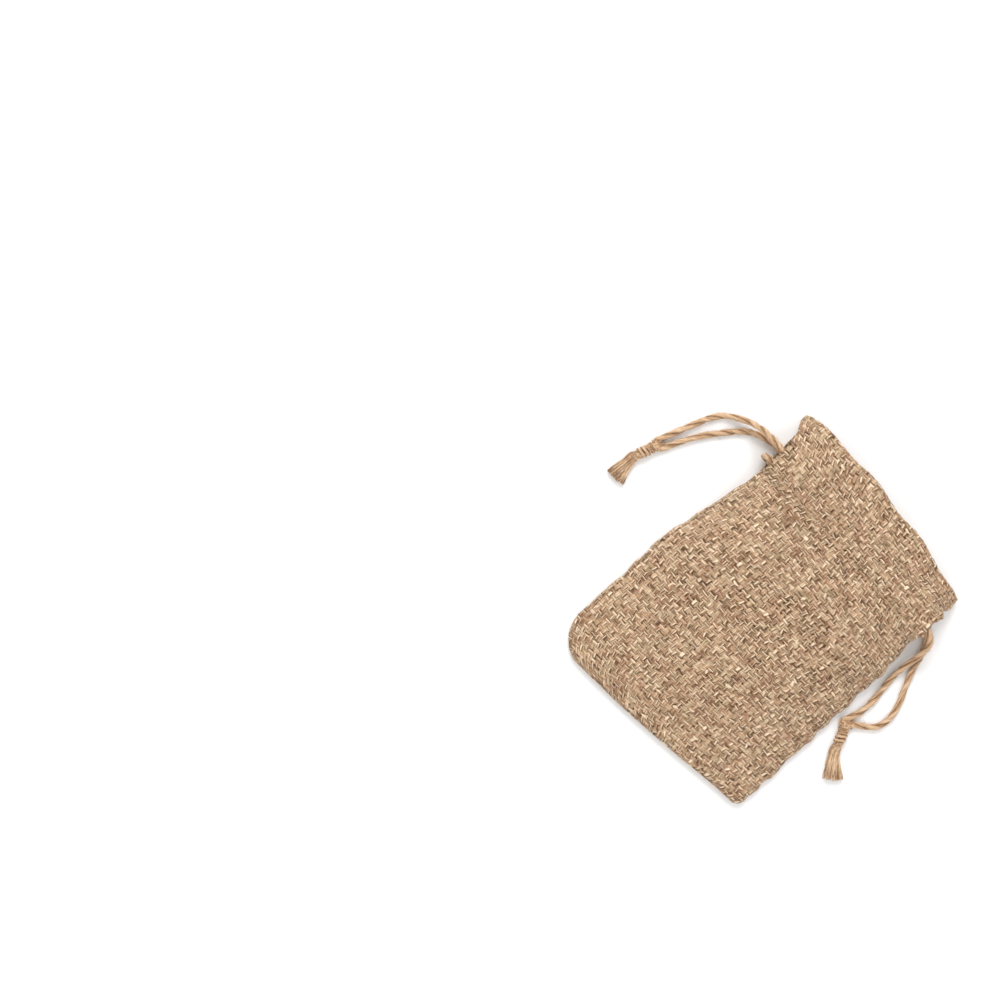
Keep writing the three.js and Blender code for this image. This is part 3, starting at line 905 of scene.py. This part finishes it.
def cloth_line(side):
    """The panel's line along its middle: up the outer face, round the mouth's fold, down the hem.

    Columns are y, middle height, side height, and 0 on the outer face to 1 on the hem."""
    outer, inner = f"{side}_outer", f"{side}_inner"
    fold_y = MOUTH_Y - FOLD_RADIUS
    curl = 1.5 * MM
    y = np.concatenate([
        BOTTOM_Y + curl * np.linspace(0, 1, 60, endpoint=False) ** 2,
        np.linspace(BOTTOM_Y + curl, fold_y, 1400),
    ])
    level = middle_level(outer, y)
    rounded = np.sqrt(1 - (1 - np.clip((y - BOTTOM_Y) / curl, 0, 1)) ** 2)
    level = SEAM_Z + (level - SEAM_Z) * rounded
    up = np.stack([y, level, steps(y, SIDE_LEVELS[outer]), np.zeros_like(y)], axis=1)
    back = np.linspace(fold_y, HEM_END_Y, 500)
    edge = steps(back, SIDE_LEVELS[inner])
    down = np.stack([back, middle_level(inner, back), edge, np.ones_like(back)], axis=1)
    t = np.linspace(0, 1, 30)[1:-1]
    arc = up[-1] + (down[0] - up[-1]) * ((1 - np.cos(math.pi * t)) / 2)[:, None]
    arc[:, 0] = fold_y + FOLD_RADIUS * np.sin(math.pi * t)
    return np.vstack([up, arc, down])


def waves(rng, count, shortest, longest):
    """A smooth random surface of x and y, between about -1 and 1."""
    terms = []
    for _ in range(count):
        size = rng.uniform(shortest, longest)
        angle = rng.uniform(0, math.pi)
        across = 2 * math.pi / size * math.cos(angle)
        along = 2 * math.pi / size * math.sin(angle)
        terms.append((across, along, rng.uniform(0, 6.3)))

    def value(x, y):
        return sum(np.cos(a * x + b * y + c) for a, b, c in terms) / math.sqrt(count)

    return value


TEETH = 0.27 * MM
SWELL_HEIGHT = 0.32 * MM
RIPPLE_HEIGHT = 0.26 * MM
EDGE_RNG = np.random.default_rng(5)
EDGE_WAVE = {hand: waves(EDGE_RNG, 7, 2.4 * MM, 7 * MM) for hand in (-1, 1)}
SWELL = waves(np.random.default_rng(8), 9, 17 * MM, 42 * MM)
RIPPLE = waves(np.random.default_rng(9), 5, 5.5 * MM, 9.5 * MM)


def skew(x, y):
    """The pouch is a little askew: its left side is the longer one, and its bottom edge bows out."""
    casing = np.exp(-(((y - CHANNEL_Y) / (7 * MM)) ** 2))
    bow = BOTTOM_BOW * np.cos(math.pi * np.clip((x + 6 * MM) / (64 * MM), -0.5, 0.5))
    return -SKEW * x * y * (1 - 0.65 * casing) - bow * smooth(-y / (40 * MM))


def mouth_shift(x, u, y):
    """How far the mouth's edge leaves a straight line: bowed between its corners and wavy."""
    weight = np.clip((y - UPPER_ROW_Y) / (MOUTH_Y - UPPER_ROW_Y), 0, 1)
    bow = -MOUTH_BOW * np.abs(u) ** 2.5
    wave = 0.45 * MM * np.cos(2 * math.pi * (x + 26 * MM) / (20 * MM))
    return weight * (bow + wave)


def turned_under(xs, zs, hand, face, size):
    """The cloth beyond a side edge: round a small roll and back, in the plane across the pouch.

    face is 1 where the cloth's outside looks up, -1 where it looks down. size is the roll's share
    of its full size."""
    tip, before = (0, 3) if hand < 0 else (-1, -4)
    out = np.array([xs[tip] - xs[before], zs[tip] - zs[before]])
    out = out / max(np.hypot(*out), 1e-9)
    off = face * hand * np.array([-out[1], out[0]])
    angles = np.linspace(0, math.pi, ROLL_STEPS + 1)[1:, None]
    edge = np.array([xs[tip], zs[tip]])
    arc = edge + ROLL_RADIUS * size * (out * np.sin(angles) - off * (1 - np.cos(angles)))
    tab = arc[-1] - out * ROLL_TAB * size
    beyond = np.vstack([arc, tab])
    return beyond[::-1] if hand < 0 else beyond


def roll_coordinates():
    """How far the points of turned_under are from the edge, in warps."""
    arc = math.pi * ROLL_RADIUS * np.arange(1, ROLL_STEPS + 1) / ROLL_STEPS
    return np.append(arc, arc[-1] + ROLL_TAB) / WARP_PITCH


def cloth_surface(side):
    """Smooth base of one panel: points, [row][column], and the fabric's own coordinates."""
    line = resample_line(cloth_line(side), WEFT_PITCH / SAMPLES_PER_WEFT)
    columns = WARPS * SAMPLES_PER_WARP + 1
    a = np.linspace(0, WARPS, columns)
    fine = np.sin(np.linspace(-1, 1, 501) * math.pi / 2)
    seam = {hand: depth * np.exp(-(((a if hand < 0 else WARPS - a) - 1.05) / 0.3) ** 2)
            for hand, depth in EDGE_SEAM.items()}
    rows = []
    for y, level, edge, inner in line:
        at = np.array([y])
        width = np.where(fine < 0, outline_at(at, -1), outline_at(at, 1)) - HEM_INSET * inner
        share = np.clip((y - BOTTOM_Y) / (BODY_TOP_Y - BOTTOM_Y), 0, 1)
        power = 2.4 + 4.6 * share ** 3 - 3.6 * smooth((y - UPPER_ROW_Y) / (MOUTH_Y - UPPER_ROW_Y))
        if side == "back":
            power = 9.0
        rise = level - edge
        roll = np.clip(rise, -1.3 * MM, 1.3 * MM)
        u = np.abs(fine)
        z = edge + roll * np.sqrt(np.maximum(0, 1 - u ** 30)) + (rise - roll) * (1 - u ** power)
        scallop = np.where(fine > 0, EDGE_WAVE[1](0.0, y), EDGE_WAVE[-1](0.0, y)) * TEETH * u ** 12
        x = fine * width + np.sign(fine) * scallop
        profile = np.stack([x, z, fine], axis=1)
        along = lengths(profile[:, :2])
        xs, zs, us = read_line(np.linspace(0, along[-1], columns), along, profile).T
        us = np.clip(us, -1, 1)
        inland = 1 - np.abs(us) ** 6
        lively = smooth((y - BOTTOM_Y) / (12 * MM))
        gather = smooth((y - 8 * MM) / (16 * MM)) * (1 - 0.75 * hump(at)[0])
        if side == "front":
            ripple = RIPPLE_HEIGHT * gather * RIPPLE(xs, y * 0.12)
            zs = zs + inland * (SWELL_HEIGHT * lively * SWELL(xs, y) + ripple)
            if inner < 0.5:
                zs = zs - (seam[-1] + seam[1]) * smooth((SPLIT_Y - y) / (4 * MM))
        face = (1 if side == "front" else -1) * (1 - 2 * inner)
        size = 1 - 0.6 * hump(at)[0]
        left = turned_under(xs, zs, -1, face, size)
        right = turned_under(xs, zs, 1, face, size)
        xs = np.concatenate([left[:, 0], xs, right[:, 0]])
        zs = np.concatenate([left[:, 1], zs, right[:, 1]])
        us = np.pad(us, len(left), mode="edge")
        ys = y + mouth_shift(xs, us, y) + skew(xs, y)
        rows.append(np.stack([xs, ys, zs], axis=1))
    points = np.array(rows)
    if side == "back":
        points = points[:, ::-1]
    b = np.arange(len(line)) / SAMPLES_PER_WEFT
    beyond = roll_coordinates()
    return points, np.concatenate([-beyond[::-1], a, WARPS + beyond]), b, line


def resample_line(line, step):
    """The panel's line with its rows a step apart, measured in the plane of its first two columns."""
    along = lengths(line[:, :2])
    return read_line(np.arange(0, along[-1], step), along, line)


def yarn_table(rng, yarns, knots):
    """Random values along each yarn, read back as a smooth function of yarn and place."""
    table = rng.normal(0, 1, (yarns + 4, knots + 4))

    def value(yarn, place):
        i = np.floor(place).astype(int)
        f = smooth(place - i)
        return table[yarn + 1, i] * (1 - f) + table[yarn + 1, i + 1] * f

    return value


def weave(a, b, warps, seed):
    """A plain weave at fabric coordinates: columns a in warps, rows b in wefts.

    Gives the height, and for the material which yarn is on top, its tone and how deep the place is."""
    rng = np.random.default_rng(seed)
    grid_a, grid_b = np.meshgrid(a, b)
    wefts = int(b[-1]) + 2
    best = np.full(grid_a.shape, PIT)
    second = best.copy()
    is_warp = np.zeros(grid_a.shape)
    shade = np.zeros(grid_a.shape)
    for warp in (True, False):
        own, other = (grid_a, grid_b) if warp else (grid_b, grid_a)
        yarns = warps if warp else wefts
        length = wefts if warp else warps
        pitch = WARP_PITCH if warp else WEFT_PITCH
        drift = yarn_table(rng, yarns, length // 3)
        slub = yarn_table(rng, yarns, length // 2)
        tint = yarn_table(rng, yarns, length)
        plump = rng.normal(0, 1, yarns + 4)
        tone = rng.normal(0, 1, yarns + 4)
        for step in (-1, 0, 1):
            yarn = np.clip(np.floor(own).astype(int) + step, -1, yarns)
            sway = 0.05 * drift(yarn, other / 3)
            across = (own - yarn - 0.5 - sway) * pitch
            fat = 1 + 0.08 * plump[yarn + 1] + 0.11 * slub(yarn, other / 2)
            half = YARN_HALF * pitch * np.clip(fat, 0.8, 1.2)
            q = across / half
            crown = np.sqrt(np.maximum(0, 1 - np.abs(q) ** 2.6))
            sign = np.where(yarn % 2 == 0, 1.0, -1.0) * (1 if warp else -1)
            wavy = np.cos(math.pi * (other - 0.5)) * sign
            bulge = CRIMP * np.sign(wavy) * np.abs(wavy) ** 0.55
            height = bulge + YARN_RISE * np.clip(fat, 0.75, 1.3) * crown
            height = np.where(np.abs(q) < 1, height, PIT)
            over = height > best
            second = np.maximum(second, np.where(over, best, height))
            best = np.where(over, height, best)
            is_warp = np.where(over, 1.0 if warp else 0.0, is_warp)
            own_tone = 0.6 * tone[yarn + 1] + 0.5 * tint(yarn, other)
            shade = np.where(over, own_tone, shade)
    crease = np.exp(-(best - second) / (0.05 * MM))
    best = best - CREASE * crease
    depth = (best - PIT) / (CRIMP + YARN_RISE - PIT)
    return best, {"is_warp": is_warp, "shade": np.clip(shade, -2, 2), "depth": np.clip(depth, 0, 1)}


def fibre_fuzz(name, points, normals, count, rng):
    """Hairs that stand off the cloth."""
    bundle = Bundle()
    flat = points.reshape(-1, 3)
    up = normals.reshape(-1, 3)
    for i in rng.integers(0, len(flat), count):
        lean = unit(np.cross(up[i], rng.normal(0, 1, 3)))
        length = rng.uniform(0.5, 1.5) * MM
        t = np.linspace(0, 1, 5)[:, None]
        hair = flat[i] - up[i] * 0.08 * MM + lean * t * length + up[i] * np.sin(t * 2.4) * length * 0.3
        hair[:, 2] = np.maximum(hair[:, 2], 0.03 * MM)
        bundle.add_tube(hair, np.linspace(0.03, 0.014, 5) * MM, 3, rng.uniform(-0.2, 1.0))
    return bundle.piece(name, JUTE)


def blend_with_neck(piece, hand):
    """Bakes the piece's transform into its mesh."""
    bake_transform(piece)


def casing_stitches(side, base, normals, line):
    """Both rows of stitches that close the casing, each in a left and a right half."""
    outer_rows = line[:, 3] < 0.5
    for row, row_y in {"lower": LOWER_ROW_Y, "upper": UPPER_ROW_Y}.items():
        i = int(np.argmin(np.where(outer_rows, np.abs(line[:, 0] - row_y), 1)))
        path = base[i, ROLL_STEPS + 4:-ROLL_STEPS - 4]
        up = normals[i, ROLL_STEPS + 4:-ROLL_STEPS - 4]
        along = lengths(path)
        for hand in (-1, 1):
            bundle = Bundle()
            start = STITCH_GAP
            while start + STITCH < along[-1]:
                t = np.linspace(start, start + STITCH, 9)
                place = read_line(t, along, path)
                lift = read_line(t, along, up)
                arch = np.sin(np.linspace(0, math.pi, 9)) ** 0.5
                dash = place + lift * (0.1 * MM + 0.32 * MM * arch)[:, None]
                if dash[4, 0] * hand > 0:
                    bundle.add_tube(dash, 0.17 * MM, 6, 0.1)
                start += STITCH + STITCH_GAP
            label = "left" if hand < 0 else "right"
            piece = bundle.piece(f"{side}_casing_{row}_stitch_row_{label}", THREAD)
            dress(piece, f"{side}_casing_{row}_stitches")
            blend_with_neck(piece, hand)


def cloth_panel(side, seed):
    points, a, b, line = cloth_surface(side)
    normals = grid_normals(points)
    height, fields = weave(a, b, WARPS, seed)
    fade = np.minimum(1, b / 0.4)[:, None]
    height = height * fade - 0.1 * MM * (1 - fade)
    # the turned-in edge lies flat, clear of the cords
    height[:, :3] *= 0.3
    height[:, -3:] *= 0.3
    base = points
    points = points + normals * height[:, :, None]
    if side == "back":
        points[:, :, 2] = np.maximum(points[:, :, 2], 0.01 * MM)
    shown = grid_normals(points)
    uv = np.stack(np.meshgrid(a * WARP_PITCH, b * WEFT_PITCH), axis=-1)
    uv = uv + [0.0, 0.2 if side == "back" else 0.0]

    casing_stitches(side, base, normals, line)
    outer_rows = line[:, 3] < 0.5
    split = int(np.argmin(np.where(outer_rows, np.abs(line[:, 0] - SPLIT_Y), 1)))
    centre = len(a) // 2
    low = -1 if side == "front" else 1
    parts = {"body": slice(0, split + 1), "band": slice(split, len(b))}
    rng = np.random.default_rng(seed + 50)
    sheets = {}
    for part, rows in parts.items():
        for hand, columns in ((low, slice(0, centre + 1)), (-low, slice(centre, len(a)))):
            block = points[rows, columns]
            label = "left" if hand < 0 else "right"
            piece = make_piece(
                f"{side}_{part}_weave_{label}",
                block.reshape(-1, 3),
                grid_faces(*block.shape[:2]),
                BURLAP,
                uv[rows, columns].reshape(-1, 2),
                {key: values[rows, columns] for key, values in fields.items()},
                shown[rows, columns].reshape(-1, 3),
            )
            node = f"{side}_panel" if part == "body" else f"{side}_casing"
            dress(piece, node)
            blend_with_neck(piece, hand)
            size = (WARPS / 2 * WARP_PITCH, (block.shape[0] - 1) / SAMPLES_PER_WEFT * WEFT_PITCH)
            sheets[piece.name] = (piece, size, "gathered" if part == "band" else "laid", node)
            if side == "front":
                hairs = CLOTH_HAIRS[part]
                fuzz = fibre_fuzz(f"{side}_{part}_fuzz_{label}", block, shown[rows, columns], hairs, rng)
                blend_with_neck(fuzz, hand)
    return sheets


SHEETS = {**cloth_panel("front", 31), **cloth_panel("back", 47)}


# -------- inner seams

ALLOWANCE = 5 * MM
STRIP_SAMPLES = 5
OVERLOCK_PITCH = 1.7 * MM


def askew(x, y, z):
    return np.array([x, y + skew(x, y), z])


def woven_strip(name, node, first_edge, second_edge, warps, wefts, seed):
    """Two layers of cloth sewn flat, between two edges: closed, with the weave on both faces."""
    a = np.linspace(0, warps, warps * STRIP_SAMPLES + 1)
    b = np.linspace(0, wefts, wefts * STRIP_SAMPLES + 1)
    height, fields = weave(a, b, warps, seed)
    share = (a / warps)[None, :, None]
    first = np.array([first_edge(t) for t in b / wefts])[:, None]
    second = np.array([second_edge(t) for t in b / wefts])[:, None]
    flat = first * (1 - share) + second * share
    offset = grid_normals(flat) * (0.22 * MM + 0.7 * height)[:, :, None]
    around = np.concatenate([flat + offset, (flat - offset)[:, ::-1]], axis=1)
    rows, count = around.shape[:2]
    quads = wall_faces(rows, count)
    for k in range(len(a) - 1):
        start = [k, k + 1, count - 2 - k, count - 1 - k]
        quads.append(start[::-1])
        quads.append([v + (rows - 1) * count for v in start])

    def both(values):
        return np.concatenate([values, values[:, ::-1]], axis=1)

    u, v = np.meshgrid(a * WARP_PITCH, b * WEFT_PITCH)
    uv = np.stack([both(u), both(v) + 0.4 + 0.1 * (seed % 7)], axis=-1)
    attributes = {key: both(values) for key, values in fields.items()}
    piece = make_piece(name, around.reshape(-1, 3), quads, BURLAP, uv.reshape(-1, 2), attributes)
    return dress(piece, node)


def sewn_thread(name, node, line, radius=0.17 * MM):
    bundle = Bundle()
    bundle.add_tube(resample(np.asarray(line), 0.25 * MM), radius, 6, 0.2)
    piece = bundle.piece(name, THREAD)
    return dress(piece, node)


def overlock_line(edge, inward, length):
    """Loops that wrap a cloth edge, from edge(0) to edge(1)."""
    turns = length / OVERLOCK_PITCH
    t = np.linspace(0, 1, int(turns * 20))
    angle = 2 * math.pi * turns * t
    along = np.array([edge(v) for v in t])
    across = np.array(inward)[None, :] * (0.9 * MM * np.cos(angle))[:, None]
    along[:, 2] += 0.8 * MM * np.sin(angle)
    return along + across


def side_seam(hand):
    label = "left" if hand < 0 else "right"
    low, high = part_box(f"{label}_side_seam_allowance")

    def edge(inset):
        def at(t):
            y = low.y + (high.y - 0.6 * MM - low.y) * t
            rise = (steps(np.array([y]), SEWN)[0] - SEAM_Z) * 0.9
            return askew(hand * (half_width_at(y, hand) - inset), y, SEAM_Z + rise)
        return at

    outer, inner = edge(0.9 * MM), edge(ALLOWANCE)
    edges = (inner, outer) if hand > 0 else (outer, inner)
    node = f"{label}_side_seam_allowance"
    strip = woven_strip(f"{label}_side_seam_cloth", node, *edges, 3, 50, 61 + hand)
    loops = overlock_line(inner, (hand, 0, 0), high.y - low.y)
    overlock = sewn_thread(f"{label}_overlock_loops", f"{label}_overlock_thread", loops)
    for piece in (strip, overlock):
        blend_with_neck(piece, hand)
    return strip


def bottom_seam():
    low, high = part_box("bottom_seam_allowance")
    reach = high.x - 3 * MM

    def edge(y):
        return lambda t: askew(reach * (2 * t - 1), y, SEAM_Z)

    strip = woven_strip(
        "bottom_seam_cloth", "bottom_seam_allowance", edge(high.y), edge(low.y + 0.6 * MM), 3, 42, 65,
    )
    loops = overlock_line(edge(high.y), (0, -1, 0), 2 * reach)
    overlock = sewn_thread("bottom_overlock_loops", "bottom_overlock_thread", loops)
    for piece in (strip, overlock):
        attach(piece, "root")
    return strip


def neck_seam(hand):
    """The ruffle's side seam turned inside, and the bar of thread at the casing's open end."""
    label = "left" if hand < 0 else "right"

    def edge(inset):
        def at(t):
            y = (39.2 + 3.6 * t) * MM
            z = steps(np.array([y]), CORNER)[0]
            x = hand * (half_width_at(y, hand) - inset)
            return np.array([x, y + mouth_shift(x, 1.0, y) + skew(x, y), z])
        return at

    outer, inner = edge(0.9 * MM), edge(3.2 * MM)
    edges = (inner, outer) if hand > 0 else (outer, inner)
    strip = woven_strip(f"{label}_neck_seam_cloth", f"{label}_neck_seam", *edges, 2, 3, 71 + hand)
    low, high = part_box(f"{label}_neck_bartack")
    x = hand * (half_width_at(UPPER_ROW_Y, hand) - 1.2 * MM)
    y = UPPER_ROW_Y + 0.8 * MM
    t = np.linspace(0, 1, 160)
    bar = askew(x, y, 0)[None, :] + np.stack([
        0.35 * MM * np.sin(14 * math.pi * t),
        0.5 * MM * np.cos(28 * math.pi * t),
        low.z + (high.z - low.z) * t,
    ], axis=1)
    bartack = sewn_thread(f"{label}_neck_bartack_bar", f"{label}_neck_bartack", bar)
    for piece in (strip, bartack):
        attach(piece, f"{label}_neck")
    return strip


# The allowances are the panels' own cloth, listed here by the panel they belong to.
TURNED_IN = {
    "front_body_weave_left": [side_seam(-1), bottom_seam()],
    "front_body_weave_right": [side_seam(1)],
    "front_band_weave_left": [neck_seam(-1)],
    "front_band_weave_right": [neck_seam(1)],
}
for sheet_name, (panel, cut_size, held, cad_node) in SHEETS.items():
    turned_in = TURNED_IN.get(sheet_name, [])
    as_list(turned_in)


# -------- floor and lights


def make_floor():
    n = Nodes("floor")
    n.shader.inputs["Base Color"].default_value = (0.93, 0.93, 0.93, 1.0)
    n.shader.inputs["Roughness"].default_value = 0.9
    reach = 3.0
    corners = np.array([[-reach, -reach, 0], [reach, -reach, 0], [reach, reach, 0], [-reach, reach, 0]])
    floor = make_piece("floor", corners, [(0, 1, 2, 3)], n.material)


def area_light(name, place, size, power):
    """A soft round light that looks at the origin."""
    data = bpy.data.lights.new(name, "AREA")
    data.shape = "DISK"
    data.size = size
    data.energy = power
    light = bpy.data.objects.new(name, data)
    light.location = place
    light.rotation_euler = light.location.to_track_quat("Z", "Y").to_euler()
    bpy.context.scene.collection.objects.link(light)


def make_lights():
    world = bpy.data.worlds.new("studio")
    world.use_nodes = True
    world.node_tree.nodes["Background"].inputs["Color"].default_value = (1.0, 1.0, 1.0, 1.0)
    world.node_tree.nodes["Background"].inputs["Strength"].default_value = 0.83
    bpy.context.scene.world = world
    area_light("key", (-0.56, 0.52, 0.78), 0.6, 7.3)
    area_light("fill", (0.5, -0.5, 0.9), 1.0, 3.0)


make_floor()
make_lights()
bpy.context.scene.view_settings.view_transform = "Standard"
